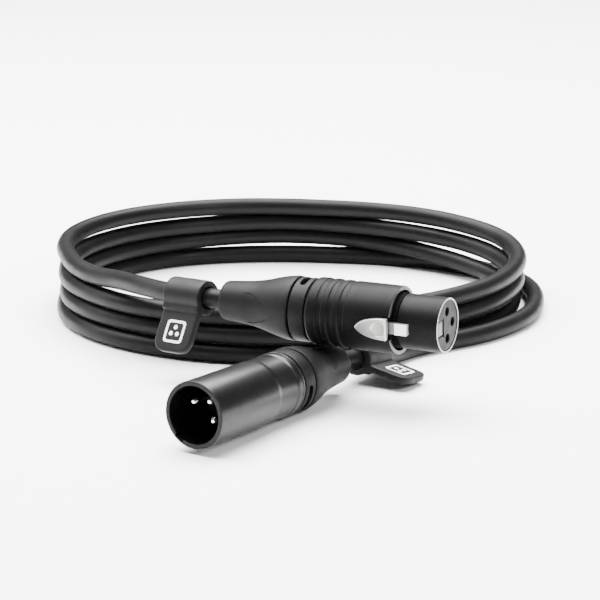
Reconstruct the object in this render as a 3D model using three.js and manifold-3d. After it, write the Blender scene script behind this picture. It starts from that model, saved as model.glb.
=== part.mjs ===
// A three-pin microphone cable, coiled in four turns, with its socket end and its pin end.
// Millimetres, +Z up. The origin is under the middle of the whole, on the surface it lies on.
import * as THREE from 'three';
import { mergeVertices } from 'three/addons/utils/BufferGeometryUtils.js';
import Module from 'manifold-3d';

const wasm = await Module();
wasm.setup();

// ---- driving dimensions -------------------------------------------------------------------

const DEG = Math.PI / 180;
const GAP = 0.3; // clearance between pieces that touch

// The point that every place and route below is measured from, seen from the middle of the whole.
const BENCH_X = -5.1;
const BENCH_Y = 42.79;

// The middle of the coil, from that point.
const COIL_X = 2.3;
const COIL_Y = 2.7;

const CABLE_R = 3;
const COIL_HALF_WIDTH = 76; // of the turns' middle line, left to right
const COIL_HALF_DEPTH = 69; // front to back
const STACK_HALF = 3.5; // half the width of the upper three turns together
const STACK_TOP = 24;
const STACK_BOTTOM = 2 * CABLE_R + GAP;
const STACK_EDGE = 2.4; // rounding of the stack's corners
const FLOOR_TURN_FROM = -100; // degrees round the coil, 0 at the right and 90 at the back
const FLOOR_TURN_TO = -282;
const FLOOR_TURN_SCALE = 0.985;

// Both connectors are drawn along +X, from the mating face back to the cable, key side at +Y.
const LENGTH = 72.3;
const SHELL_END = 41.1;
const NECK_END = 50.5;
const NECK_R = 8;
const NECK_BORE_R = 6.6;
const CODING_RING_FROM = 41.6;
const CODING_RING_TO = 46.5;
const CODING_RING_R = 9.5;
const CODING_SLOT_WIDTH = 1.7;
const CODING_SLOT_LENGTH = 8;
const BOOT_FROM = 47;
const BOOT_FRONT_R = 9.5;
const BOOT_REAR_R = 5.9;
const BOOT_BORE_R = 3.7;
const CHUCK_FROM = 40;
const CHUCK_TO = 58;
const JACKET_FROM = 38.5;
const CONTACT_CIRCLE_R = 4;
const CONTACT_ANGLES = [94, 266, 180]; // contacts 1, 2 and 3, from the key side
const PIN_R = 1.2;
const CORE_R = 0.7;

// Socket end
const SOCKET = { x: 46.9, y: -117.4, z: 26.2, heading: 153.55, drop: 0.5, roll: -3 };
const NOSE_R = 8;
const NOSE_BORE_R = 6.9;
const NOSE_END = 22;
const SEAL_FROM = 11.4;
const SEAL_TO = 14;
const SOCKET_SHELL_FROM = 14.2;
const SOCKET_SHELL_R = 10;
const SOCKET_SHELL_BORE_R = 8.4;
const INSERT_R = 6.6;
const INSERT_FROM = 0.8;
const INSERT_END = 31;
const CONTACT_FROM = 2.5;
const CONTACT_END = 33;
const CONTACT_R = 1.45;
const CONTACT_BORE_R = 1.25;

// Latch of the socket end
const LATCH_HALF_WIDTH = 1.65;
const LATCH_PIVOT_T = 27.9;
const LATCH_PIVOT_Y = 5.9;
const LATCH_PIN_R = 0.6;
const HOOK_FROM = 8.1;
const HOOK_TO = 12.2;
const BUTTON_FROM = 13.6;
const BUTTON_TO = 24.2;
const BUTTON_HALF_WIDTH = 3.4;
const BUTTON_BOTTOM = 9.2;
const BUTTON_TOP = 11;
const NOTCH_HALF_WIDTH = 2.4;
const NOTCH_FLOOR = 4.7;

// Pin end
const PLUG = { x: -24.05, y: -155.4, z: 11.08, heading: 56.7, drop: 1.89, roll: -56 };
const PLUG_R = 9.5;
const PLUG_BORE_R = 8.2;
const PLUG_STEP_T = 28.7;
const PLUG_WAIST_R = 9.25;
const PLUG_INSERT_FROM = 16;
const PLUG_INSERT_END = 30;
const PIN_TIP_T = 4;
const PIN_END_T = 33;

// Identification tags, each a strap folded round the cable with a paddle for the mark
const TAG_WIDTH = 13.5;
const TAG_BORE_R = 3.9;
const TAG_WALL = 1.4;
const TAG_PADDLE_REACH = 18.5;
const TAG_PADDLE_THICKNESS = 2.2;
const TAG_PADDLE_OFFSET = 1.5;
// The roll is how far the paddle stands out from straight down.
const SOCKET_TAG = { x: -28, y: -79.25, z: 25.25, heading: 143.6, drop: 2, roll: 30 };
const PLUG_TAG = { x: 24.9, y: -81.5, z: 7.2, heading: 56.8, drop: 6.5, roll: -80 };

// ---- materials ----------------------------------------------------------------------------

const material = (color, roughness, metalness) =>
  new THREE.MeshStandardMaterial({ color, roughness, metalness });
const MATERIALS = {
  jacket: material(0x2b2b2c, 0.55, 0),
  blackShell: material(0x19191a, 0.35, 0.4),
  gunmetal: material(0x3a3a3b, 0.3, 0.85),
  softTouch: material(0x343434, 0.6, 0),
  insertBlack: material(0x0e0e0e, 0.4, 0),
  insertGrey: material(0x4a4a4a, 0.5, 0),
  silver: material(0xc9cac9, 0.3, 0.9),
  steel: material(0xb5b6b8, 0.3, 0.9),
  tin: material(0x9a9a98, 0.4, 0.8),
  tagRubber: material(0x262626, 0.7, 0),
  coreRed: material(0x8f1a16, 0.5, 0),
  coreWhite: material(0xd9d6cc, 0.5, 0),
  drain: material(0xb87b52, 0.4, 0.8),
};

// ---- solids -------------------------------------------------------------------------------

// A closed geometry as a solid, with its vertices merged and its faces turned outward.
function solid(geometry) {
  const bare = geometry.clone();
  bare.deleteAttribute('normal');
  bare.deleteAttribute('uv');
  const merged = mergeVertices(bare, 1e-4);
  const { position } = merged.attributes;
  const corner = (i) => new THREE.Vector3().fromBufferAttribute(position, i);
  const triangles = [];
  let volume = 0;
  for (let i = 0; i < merged.index.count; i += 3) {
    const [a, b, c] = [0, 1, 2].map((k) => merged.index.getX(i + k));
    if (a === b || b === c || c === a) continue;
    volume += corner(a).dot(corner(b).cross(corner(c)));
    triangles.push([a, b, c]);
  }
  if (volume < 0) triangles.forEach((t) => t.reverse());
  const mesh = new wasm.Mesh({
    numProp: 3,
    vertProperties: new Float32Array(position.array),
    triVerts: new Uint32Array(triangles.flat()),
  });
  mesh.merge();
  return new wasm.Manifold(mesh);
}

// A named mesh made from a solid.
function node(name, body, surface) {
  const mesh = body.getMesh();
  const geometry = new THREE.BufferGeometry();
  geometry.setAttribute('position', new THREE.BufferAttribute(new Float32Array(mesh.vertProperties), 3));
  geometry.setIndex(new THREE.BufferAttribute(new Uint32Array(mesh.triVerts), 1));
  geometry.computeVertexNormals();
  const made = new THREE.Mesh(geometry, surface);
  made.name = name;
  return made;
}

// A body of revolution about X, from [x, radius] points that start and end on the axis.
function turned(profile, sides = 24) {
  const geometry = new THREE.LatheGeometry(profile.map(([x, r]) => new THREE.Vector2(r, x)), sides);
  geometry.rotateZ(-Math.PI / 2);
  return solid(geometry);
}

// The same for a hollow body, whose profile closes on itself.
const turnedRing = (profile, sides) => turned([...profile, profile[0]], sides);

const sleeve = (from, to, outer, inner, sides) =>
  turnedRing([[from, inner], [from, outer], [to, outer], [to, inner]], sides);

const rod = (from, to, radius, sides = 12) =>
  turned([[from, 0], [from, radius], [to, radius], [to, 0]], sides);

function box(from, to) {
  const size = to.map((v, i) => v - from[i]);
  const middle = to.map((v, i) => (v + from[i]) / 2);
  return solid(new THREE.BoxGeometry(...size).translate(...middle));
}

// A plate with its outline in the XY plane, centred on Z = 0.
function plate(shape, thickness) {
  const settings = { depth: thickness, bevelEnabled: false, curveSegments: 8 };
  return solid(new THREE.ExtrudeGeometry(shape, settings).translate(0, 0, -thickness / 2));
}

// A polygon whose flats, not corners, are at the radius, with a flat facing each way across.
function circleShape(radius, sides) {
  const cornerR = radius / Math.cos(Math.PI / sides);
  const corners = Array.from({ length: sides }, (_, i) => {
    const angle = (2 * Math.PI * (i + 0.5)) / sides;
    return new THREE.Vector2(cornerR * Math.cos(angle), cornerR * Math.sin(angle));
  });
  return new THREE.Shape(corners);
}

function tube(points, radius, sides, steps) {
  const path = new THREE.CatmullRomCurve3(points, false, 'centripetal');
  return solid(new THREE.ExtrudeGeometry(circleShape(radius, sides), { steps, extrudePath: path }));
}

const turn = (body, degrees) => body.rotate([degrees, 0, 0]);

// ---- places -------------------------------------------------------------------------------

function placed(group, place) {
  group.position.set(place.x, place.y, place.z);
  group.rotation.set(place.roll * DEG, place.drop * DEG, place.heading * DEG, 'ZYX');
  return group;
}

// A point on a connector's axis, or on the straight line that goes on from it.
function onAxis(place, t) {
  const along = t * Math.cos(place.drop * DEG);
  return new THREE.Vector3(
    place.x + along * Math.cos(place.heading * DEG),
    place.y + along * Math.sin(place.heading * DEG),
    place.z - t * Math.sin(place.drop * DEG),
  );
}

function onCoil(degrees, scale, z) {
  const angle = degrees * DEG;
  return new THREE.Vector3(
    COIL_X + COIL_HALF_WIDTH * scale * Math.cos(angle),
    COIL_Y + COIL_HALF_DEPTH * scale * Math.sin(angle),
    z,
  );
}

const points = (list) => list.map(([x, y, z]) => new THREE.Vector3(x, y, z));

// From the socket end's boot up to the side of the stack, where it becomes the top turn.
const SOCKET_LEAD = points([
  [-21.5, -83.3, 25.5],
  [-27.2, -79.9, 25.3],
  [-32.4, -75.6, 25],
  [-37.0, -70.6, 24.6],
  [-40.8, -65.6, 24.2],
  [-44.6, -60.4, 23.8],
]);

// From the bottom turn, out past the right of the stack, round the front and to the pin end.
const PLUG_LEAD = points([
  [28.6, 67.9, 3],
  [39.4, 64.9, 3],
  [50.2, 61.0, 3],
  [60.7, 54.4, 3],
  [70.6, 45.5, 3],
  [77.6, 36.3, 3],
  [82.2, 26.8, 3],
  [84.2, 16.4, 3],
  [84.4, 8.0, 3],
  [83.5, -1.5, 3],
  [81.5, -11.5, 3],
  [78.0, -20.6, 3],
  [73.0, -29.0, 3],
  [66.6, -36.8, 3],
  [59.4, -43.3, 3],
  [52.2, -48.2, 3],
  [45.4, -52.8, 3],
  [38.9, -58.6, 3.02],
  [33.6, -66.0, 3.5],
  [29.2, -74.4, 5.7],
  [24.9, -81.5, 7.2],
  [20.4, -88.4, 7.9],
]);

// ---- the cable ----------------------------------------------------------------------------

function coilStack() {
  const [inner, outer] = [COIL_HALF_WIDTH - STACK_HALF, COIL_HALF_WIDTH + STACK_HALF];
  const profile = [
    [outer, STACK_BOTTOM + STACK_EDGE],
    [outer, STACK_TOP - STACK_EDGE],
    [outer - STACK_EDGE, STACK_TOP],
    [inner + STACK_EDGE, STACK_TOP],
    [inner, STACK_TOP - STACK_EDGE],
    [inner, STACK_BOTTOM + STACK_EDGE],
    [inner + STACK_EDGE, STACK_BOTTOM],
    [outer - STACK_EDGE, STACK_BOTTOM],
    [outer, STACK_BOTTOM + STACK_EDGE],
  ];
  const ring = new THREE.LatheGeometry(profile.map(([r, z]) => new THREE.Vector2(r, z)), 44);
  ring.rotateX(Math.PI / 2);
  ring.scale(1, COIL_HALF_DEPTH / COIL_HALF_WIDTH, 1).translate(COIL_X, COIL_Y, 0);
  return node('coil_upper_turns', solid(ring), MATERIALS.jacket);
}

function floorTurn() {
  const count = 14;
  const route = Array.from({ length: count }, (_, i) => {
    const degrees = FLOOR_TURN_FROM + ((FLOOR_TURN_TO - FLOOR_TURN_FROM) * i) / (count - 1);
    return onCoil(degrees, FLOOR_TURN_SCALE, CABLE_R);
  });
  const body = node('coil_bottom_turn', tube(route, CABLE_R, 8, 30), MATERIALS.jacket);
  return { body, end: route.at(-1) };
}

// The first point of the lead, a gap on from the end of the bottom turn.
function stepOff(end) {
  const towards = PLUG_LEAD[0].clone().sub(end).normalize();
  return end.clone().addScaledVector(towards, GAP);
}

function leads(bottomEnd) {
  const socketRoute = [
    onAxis(SOCKET, JACKET_FROM),
    onAxis(SOCKET, 56),
    onAxis(SOCKET, LENGTH),
    ...SOCKET_LEAD,
  ];
  const plugRoute = [
    stepOff(bottomEnd),
    ...PLUG_LEAD,
    onAxis(PLUG, LENGTH),
    onAxis(PLUG, 56),
    onAxis(PLUG, JACKET_FROM),
  ];
  return [
    node('socket_lead', tube(socketRoute, CABLE_R, 8, 12), MATERIALS.jacket),
    node('plug_lead', tube(plugRoute, CABLE_R, 8, 34), MATERIALS.jacket),
  ];
}

// ---- pieces that both connectors have --------------------------------------------------------

function codingRing(name, slotAngle) {
  const ring = sleeve(CODING_RING_FROM, CODING_RING_TO, CODING_RING_R, NECK_R + GAP);
  const middle = (CODING_RING_FROM + CODING_RING_TO) / 2;
  const slot = box(
    [middle - CODING_SLOT_WIDTH / 2, NECK_R - 1, -CODING_SLOT_LENGTH / 2],
    [middle + CODING_SLOT_WIDTH / 2, CODING_RING_R + 1, CODING_SLOT_LENGTH / 2],
  );
  return node(name, ring.subtract(turn(slot, slotAngle)), MATERIALS.softTouch);
}

// The screw-on boot, hollow for the neck and the chuck, with a finger flat on two sides.
function boot(name) {
  const shellOfRevolution = turnedRing([
    [BOOT_FROM, NECK_R + GAP],
    [BOOT_FROM, BOOT_FRONT_R],
    [51, 9.2],
    [55, 8.2],
    [59, 7.2],
    [63, 6.6],
    [68, BOOT_REAR_R + 0.1],
    [71.4, BOOT_REAR_R],
    [LENGTH, BOOT_REAR_R - 0.9],
    [LENGTH, BOOT_BORE_R],
    [62, BOOT_BORE_R],
    [57, 6.2],
    [NECK_END + 1, NECK_R + GAP],
  ]);
  const flat = box([0, 0, -8], [20, 4, 8]).rotate([0, 0, -9]).translate([59.5, 7.5, 0]);
  const body = shellOfRevolution.subtract(flat).subtract(turn(flat, 180));
  return node(name, body, MATERIALS.softTouch);
}

// The jaws that grip the jacket: a slotted cone on a ring.
function chuck(name) {
  const cone = turnedRing([
    [CHUCK_FROM, CABLE_R + GAP],
    [CHUCK_FROM, NECK_BORE_R - GAP],
    [NECK_END, NECK_BORE_R - GAP],
    [CHUCK_TO, 4.6],
    [CHUCK_TO, CABLE_R + GAP],
  ]);
  const slit = box([CHUCK_FROM + 4, -8, -0.5], [CHUCK_TO + 1, 8, 0.5]);
  return node(name, cone.subtract(slit).subtract(turn(slit, 90)), MATERIALS.insertGrey);
}

// Two insulated cores and the drain wire, from the jacket's end out to the contacts.
function cores(prefix, contactEnd) {
  const surfaces = [MATERIALS.drain, MATERIALS.coreRed, MATERIALS.coreWhite];
  const names = ['drain_wire', 'core_hot', 'core_cold'];
  return CONTACT_ANGLES.map((angle, i) => {
    const across = (t, r) => new THREE.Vector3(t, r * Math.cos(angle * DEG), r * Math.sin(angle * DEG));
    const route = [
      across(contactEnd + GAP, CONTACT_CIRCLE_R),
      across(contactEnd + 1.4, CONTACT_CIRCLE_R - 0.4),
      across(JACKET_FROM - 1.4, 1.9),
      across(JACKET_FROM - GAP, 1.5),
    ];
    return node(`${prefix}_${names[i]}`, tube(route, CORE_R, 6, 5), surfaces[i]);
  });
}

const atContact = (body, angle) => turn(body.translate([0, CONTACT_CIRCLE_R, 0]), angle);

// A sprung ring that bonds the shell to contact 1.
function groundClip(name, from, outer, inner) {
  const ring = sleeve(from, from + 1.6, outer, inner, 20);
  const gap = box([from - 1, 0, -3], [from + 3, outer + 1, 3]);
  return node(name, ring.subtract(gap), MATERIALS.tin);
}

// ---- the socket end ---------------------------------------------------------------------------

// The button's outline, pointed at the cable end, in the plane of X and Z.
function buttonShape(margin) {
  const half = BUTTON_HALF_WIDTH + margin;
  const from = BUTTON_FROM - margin;
  const shape = new THREE.Shape();
  shape.moveTo(from, -half);
  shape.lineTo(from, half);
  shape.quadraticCurveTo(BUTTON_TO - 3.5, half, BUTTON_TO + margin, 0);
  shape.quadraticCurveTo(BUTTON_TO - 3.5, -half, from, -half);
  return shape;
}

// A prism of the button's outline between two heights over the axis.
function buttonPrism(margin, bottom, top) {
  const prism = plate(buttonShape(margin), top - bottom).rotate([90, 0, 0]);
  return prism.translate([0, (top + bottom) / 2, 0]);
}

// A body drawn along X, laid across the connector at the latch's pivot.
const atPivot = (body) => body.rotate([0, 90, 0]).translate([LATCH_PIVOT_T, LATCH_PIVOT_Y, 0]);

const latchSlot = (from, to, bottom, top) =>
  box([from, bottom, -NOTCH_HALF_WIDTH], [to, top, NOTCH_HALF_WIDTH]);

function socketShell() {
  const body = turnedRing([
    [SOCKET_SHELL_FROM, SOCKET_SHELL_BORE_R],
    [SOCKET_SHELL_FROM, SOCKET_SHELL_R],
    [SHELL_END, SOCKET_SHELL_R],
    [SHELL_END, NECK_R],
    [NECK_END, NECK_R],
    [NECK_END, NECK_BORE_R],
    [36, NECK_BORE_R],
    [36, SOCKET_SHELL_BORE_R],
  ], 28);
  const window = buttonPrism(GAP + 0.1, 6, 12);
  return node('socket_shell', body.subtract(window), MATERIALS.blackShell);
}

function socketNose() {
  const seat = NOSE_R - 0.6;
  const body = turnedRing([
    [0, NOSE_BORE_R],
    [0, NOSE_R],
    [SEAL_FROM - GAP, NOSE_R],
    [SEAL_FROM - GAP, seat],
    [SEAL_TO + GAP, seat],
    [SEAL_TO + GAP, NOSE_R],
    [NOSE_END, NOSE_R],
    [NOSE_END, NOSE_BORE_R],
  ], 28);
  const slot = latchSlot(HOOK_FROM - 1, NOSE_END + 1, 6, 9);
  return node('socket_nose', body.subtract(slot), MATERIALS.blackShell);
}

function sealRing() {
  const ring = sleeve(SEAL_FROM, SEAL_TO, NOSE_R + 0.1, NOSE_R - GAP, 28);
  const slot = latchSlot(SEAL_FROM - 1, SEAL_TO + 1, 5, 9);
  return node('socket_seal_ring', ring.subtract(slot), MATERIALS.insertBlack);
}

function socketInsert() {
  const notch = latchSlot(-1, 29.8, NOTCH_FLOOR, 8);
  const pinHole = atPivot(rod(-5, 5, LATCH_PIN_R + 0.15));
  let body = rod(INSERT_FROM, INSERT_END, INSERT_R, 28).subtract(notch).subtract(pinHole);
  CONTACT_ANGLES.forEach((angle) => {
    body = body.subtract(atContact(rod(INSERT_FROM - 1, CONTACT_FROM, CONTACT_BORE_R + 0.1), angle));
    body = body.subtract(atContact(rod(CONTACT_FROM - GAP, INSERT_END + 1, CONTACT_R + GAP), angle));
  });
  return node('socket_insert', body, MATERIALS.insertGrey);
}

function socketContacts() {
  return CONTACT_ANGLES.map((angle, i) => {
    const body = turned([
      [16, 0],
      [16, CONTACT_BORE_R],
      [CONTACT_FROM, CONTACT_BORE_R],
      [CONTACT_FROM, CONTACT_R],
      [CONTACT_END, CONTACT_R],
      [CONTACT_END, 0],
    ], 12);
    return node(`socket_contact_${i + 1}`, atContact(body, angle), MATERIALS.tin);
  });
}

// The rocking lever: hook in front, button over it, and a foot round the pivot pin at the rear.
function latch() {
  const side = new THREE.Shape(
    [
      [HOOK_FROM, 6.7],
      [HOOK_FROM, 8.9],
      [HOOK_TO, 8.9],
      [HOOK_TO, 8.4],
      [15, 8.4],
      [15, 9.4],
      [22, 9.4],
      [22, 7.9],
      [29.4, 7.9],
      [29.4, 4.9],
      [26.4, 4.9],
      [25.8, 6.7],
    ].map(([x, y]) => new THREE.Vector2(x, y)),
  );
  const eye = circleShape(LATCH_PIN_R + 0.12, 16).getPoints();
  const pivot = new THREE.Vector2(LATCH_PIVOT_T, LATCH_PIVOT_Y);
  side.holes.push(new THREE.Path(eye.map((p) => p.add(pivot))));
  const lever = plate(side, 2 * LATCH_HALF_WIDTH);
  const cap = buttonPrism(0, BUTTON_BOTTOM, BUTTON_TOP);
  return node('latch_lever', lever.add(cap), MATERIALS.silver);
}

function latchPin() {
  return node('latch_pivot_pin', atPivot(rod(-3.6, 3.6, LATCH_PIN_R)), MATERIALS.steel);
}

// A leaf that lies on the notch's floor and rises under the lever, close to the pivot.
function latchSpring() {
  const leaf = new THREE.Shape(
    [[13, 4.95], [17, 4.95], [24.5, 5.85], [24.4, 6.2], [16.9, 5.3], [13, 5.3]].map(
      ([x, y]) => new THREE.Vector2(x, y),
    ),
  );
  return node('latch_spring', plate(leaf, 2.6), MATERIALS.steel);
}

function socketEnd() {
  const fixed = [
    socketShell(),
    socketNose(),
    sealRing(),
    socketInsert(),
    ...socketContacts(),
    groundClip('socket_ground_clip', 32, SOCKET_SHELL_BORE_R - GAP, 6.8),
    chuck('socket_chuck'),
    ...cores('socket', CONTACT_END),
    latchPin(),
    latchSpring(),
    latch(),
    codingRing('socket_coding_ring', 93),
    boot('socket_boot'),
  ];
  return placed(new THREE.Group().add(...fixed), SOCKET);
}

// ---- the pin end --------------------------------------------------------------------------------

function plugShell() {
  const body = turnedRing([
    [0, PLUG_BORE_R],
    [0, PLUG_R - 0.3],
    [0.3, PLUG_R],
    [PLUG_STEP_T, PLUG_R],
    [PLUG_STEP_T + 0.6, PLUG_WAIST_R],
    [37.6, PLUG_WAIST_R],
    [38.3, PLUG_R],
    [SHELL_END, PLUG_R],
    [SHELL_END, NECK_R],
    [NECK_END, NECK_R],
    [NECK_END, NECK_BORE_R],
    [36, NECK_BORE_R],
    [36, PLUG_BORE_R],
  ], 32);
  const keyway = box([-1, PLUG_BORE_R - 1, -1.6], [3, PLUG_BORE_R + 0.7, 1.6]);
  return node('plug_shell', body.subtract(keyway), MATERIALS.gunmetal);
}

function plugInsert() {
  let body = rod(PLUG_INSERT_FROM, PLUG_INSERT_END, PLUG_BORE_R - GAP, 28);
  CONTACT_ANGLES.forEach((angle) => {
    const hole = rod(PLUG_INSERT_FROM - 1, PLUG_INSERT_END + 1, PIN_R + GAP);
    body = body.subtract(atContact(hole, angle));
  });
  return node('plug_insert', body, MATERIALS.insertBlack);
}

function plugPins() {
  return CONTACT_ANGLES.map((angle, i) => {
    const tip = [[PIN_TIP_T, 0], [PIN_TIP_T + 0.25, 0.6], [PIN_TIP_T + 1, PIN_R]];
    const body = turned([...tip, [PIN_END_T, PIN_R], [PIN_END_T, 0]], 12);
    return node(`plug_pin_${i + 1}`, atContact(body, angle), MATERIALS.steel);
  });
}

function plugEnd() {
  const pieces = [
    plugShell(),
    plugInsert(),
    ...plugPins(),
    groundClip('plug_ground_clip', 31, PLUG_BORE_R - GAP, 6.6),
    chuck('plug_chuck'),
    ...cores('plug', PIN_END_T),
    codingRing('plug_coding_ring', -100),
    boot('plug_boot'),
  ];
  return placed(new THREE.Group().add(...pieces), PLUG);
}

// ---- the tags -------------------------------------------------------------------------------------

// A loop round the cable, along X, and a paddle that hangs down at its +Y side.
function tag(name, at) {
  const half = TAG_WIDTH / 2;
  const loop = sleeve(-half, half, TAG_BORE_R + TAG_WALL, TAG_BORE_R, 20);
  const round = 4.5;
  const outline = new THREE.Shape();
  outline.moveTo(-half, -TAG_BORE_R + 0.4);
  outline.lineTo(-half, -TAG_PADDLE_REACH + round);
  outline.quadraticCurveTo(-half, -TAG_PADDLE_REACH, -half + round, -TAG_PADDLE_REACH);
  outline.lineTo(half - round, -TAG_PADDLE_REACH);
  outline.quadraticCurveTo(half, -TAG_PADDLE_REACH, half, -TAG_PADDLE_REACH + round);
  outline.lineTo(half, -TAG_BORE_R + 0.4);
  const paddle = plate(outline, TAG_PADDLE_THICKNESS).rotate([90, 0, 0]);
  const bore = rod(-half - 1, half + 1, TAG_BORE_R, 20);
  const body = loop.add(paddle.translate([0, TAG_PADDLE_OFFSET, 0])).subtract(bore);
  return placed(new THREE.Group().add(node(name, body, MATERIALS.tagRubber)), at);
}

// ---- the whole ------------------------------------------------------------------------------------

const bottom = floorTurn();
const cable = new THREE.Group();
cable.add(coilStack(), bottom.body, ...leads(bottom.end), socketEnd(), plugEnd());
cable.add(tag('socket_tag', SOCKET_TAG), tag('plug_tag', PLUG_TAG));
cable.position.set(BENCH_X, BENCH_Y, 0);

export default cable;
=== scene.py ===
"""The looks of a coiled three-pin microphone cable, built round its CAD frame. Metres, +Z up."""
import math

import bmesh
import bpy
from mathutils import Matrix, Vector


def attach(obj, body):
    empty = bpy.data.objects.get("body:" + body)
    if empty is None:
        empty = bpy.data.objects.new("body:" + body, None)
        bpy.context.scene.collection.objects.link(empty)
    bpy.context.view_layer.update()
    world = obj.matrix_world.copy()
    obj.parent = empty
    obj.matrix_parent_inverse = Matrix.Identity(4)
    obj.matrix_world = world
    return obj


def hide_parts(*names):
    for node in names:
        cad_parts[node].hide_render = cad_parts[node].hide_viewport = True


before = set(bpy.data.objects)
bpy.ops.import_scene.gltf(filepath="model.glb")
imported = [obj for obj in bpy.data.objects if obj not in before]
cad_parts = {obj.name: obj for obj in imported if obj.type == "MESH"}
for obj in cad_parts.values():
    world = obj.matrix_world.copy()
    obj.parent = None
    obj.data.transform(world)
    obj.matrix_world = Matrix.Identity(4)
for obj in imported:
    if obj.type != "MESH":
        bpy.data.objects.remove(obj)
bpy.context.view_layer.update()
scene = bpy.context.scene

MM = 0.001
CABLE_R = 3.0


# ---- places: the same as in the CAD --------------------------------------------------------------

# The point that every place and route is measured from, seen from the middle of the whole.
BENCH = (-5.1, 42.79)


def bench(x, y, z):
    return Vector((x + BENCH[0], y + BENCH[1], z)) * MM


def placement(x, y, z, heading, drop, roll):
    turn = (
        Matrix.Rotation(math.radians(heading), 4, "Z")
        @ Matrix.Rotation(math.radians(drop), 4, "Y")
        @ Matrix.Rotation(math.radians(roll), 4, "X")
    )
    return Matrix.Translation(bench(x, y, z)) @ turn


# Both connectors lie along their own +X, from the mating face back to the cable, key side at +Y.
SOCKET = placement(46.9, -117.4, 26.2, 153.55, 0.5, -3)
PLUG = placement(-24.05, -155.4, 11.08, 56.7, 1.89, -56)
SOCKET_TAG = placement(-28, -79.25, 25.25, 143.6, 2, 30)
PLUG_TAG = placement(24.9, -81.5, 7.2, 56.8, 6.5, -80)
CONNECTOR_LENGTH = 72.3
CONTACT_ANGLES = (94, 266, 180)
CONTACT_CIRCLE_R = 4.0


# ---- camera --------------------------------------------------------------------------------------

CAMERA_TILT = 0.25  # radians that it looks down by

camera = bpy.data.objects.new("camera", bpy.data.cameras.new("camera"))
scene.collection.objects.link(camera)
camera.location = (-0.0003, -0.72625, 0.20006)
camera.rotation_euler = (math.pi / 2 - CAMERA_TILT, 0, 0)
camera.data.lens = 141.97
camera.data.sensor_width = 36
camera.data.clip_start = 0.01
scene.camera = camera


# ---- materials -----------------------------------------------------------------------------------

def material(name, color, roughness, metallic=0.0, **extra):
    """A Principled material. extra holds socket names, with _ for a space, and their values."""
    made = bpy.data.materials.new(name)
    made.use_nodes = True
    shader = made.node_tree.nodes["Principled BSDF"]
    shader.inputs["Base Color"].default_value = (*color, 1)
    shader.inputs["Roughness"].default_value = roughness
    shader.inputs["Metallic"].default_value = metallic
    for socket, value in extra.items():
        shader.inputs[socket.replace("_", " ")].default_value = value
    return made


def node(tree, kind, inputs=None, **settings):
    made = tree.nodes.new(kind)
    for key, value in settings.items():
        setattr(made, key, value)
    for key, value in (inputs or {}).items():
        if isinstance(value, bpy.types.NodeSocket):
            tree.links.new(value, made.inputs[key])
        else:
            made.inputs[key].default_value = value
    return made


def noise(tree, scale, detail=3.0, stretch=(1, 1, 1)):
    """Noise in the piece's own coordinates, which stay put when it moves."""
    where = node(tree, "ShaderNodeTexCoord")
    mapped = node(tree, "ShaderNodeMapping", {"Vector": where.outputs["Object"], "Scale": stretch})
    return node(
        tree, "ShaderNodeTexNoise",
        {"Vector": mapped.outputs["Vector"], "Scale": scale, "Detail": detail},
    ).outputs["Fac"]


def spread(tree, value, low, high):
    """A value of about 0.3 to 0.7, as noise gives, mapped to low to high."""
    return node(
        tree, "ShaderNodeMapRange",
        {"Value": value, "From Min": 0.3, "From Max": 0.7, "To Min": low, "To Max": high},
    ).outputs["Result"]


def bump(tree, height, strength, distance, under=None):
    inputs = {"Height": height, "Strength": strength, "Distance": distance}
    if under is not None:
        inputs["Normal"] = under
    return node(tree, "ShaderNodeBump", inputs).outputs["Normal"]


def shade(tree, value, low, high):
    """A colour from low to high, by a value of 0 to 1."""
    mix = node(tree, "ShaderNodeMix", {"Factor": value}, data_type="RGBA")
    mix.inputs["A"].default_value = (*low, 1)
    mix.inputs["B"].default_value = (*high, 1)
    return mix.outputs["Result"]


def textured(
    made, color=None, color_scale=60, rough=None, rough_scale=90, stretch=(1, 1, 1),
    grain=None, grain_scale=2500, grain_depth=2e-5, wave=None, wave_scale=140, wave_depth=1e-4,
):
    """Adds colour variation, roughness variation, fine grain and slow waviness to a material."""
    tree = made.node_tree
    shader = tree.nodes["Principled BSDF"]
    if color:
        drift = spread(tree, noise(tree, color_scale, 4), 0, 1)
        tree.links.new(shade(tree, drift, *color), shader.inputs["Base Color"])
    if rough:
        smear = noise(tree, rough_scale, 5, stretch)
        tree.links.new(spread(tree, smear, *rough), shader.inputs["Roughness"])
    normal = None
    if wave:
        normal = bump(tree, noise(tree, wave_scale, 2), wave, wave_depth)
    if grain:
        normal = bump(tree, noise(tree, grain_scale, 2, stretch), grain, grain_depth, normal)
    if normal is not None:
        tree.links.new(normal, shader.inputs["Normal"])
    return made


ROUND_THE_AXIS = (12, 0.6, 0.6)  # turning marks: fine along X, long round it

JACKET = textured(
    material("jacket_pvc", (0.0035, 0.0035, 0.0036), 0.4, Specular_IOR_Level=0.09),
    color=((0.0028, 0.0028, 0.0029), (0.0043, 0.0043, 0.0044)), color_scale=45,
    rough=(0.38, 0.48), rough_scale=120,
    wave=0.25, wave_scale=160, wave_depth=1e-4, grain=0.3, grain_scale=3200, grain_depth=1.5e-5,
)
BLACK_SHELL = textured(
    material("black_shell", (0.0028, 0.0028, 0.0029), 0.44, Specular_IOR_Level=0.065),
    color=((0.0023, 0.0023, 0.0024), (0.0034, 0.0034, 0.0035)), color_scale=120,
    rough=(0.43, 0.49), rough_scale=60, stretch=ROUND_THE_AXIS,
    grain=0.2, grain_scale=900, grain_depth=1.2e-5,
)
MACHINED = textured(
    material("machined_edge", (0.3, 0.3, 0.3), 0.42, 0.85),
    color=((0.24, 0.24, 0.24), (0.36, 0.36, 0.36)), color_scale=900,
    rough=(0.36, 0.52), rough_scale=900, grain=0.4, grain_scale=5000, grain_depth=1.5e-5,
)
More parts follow.
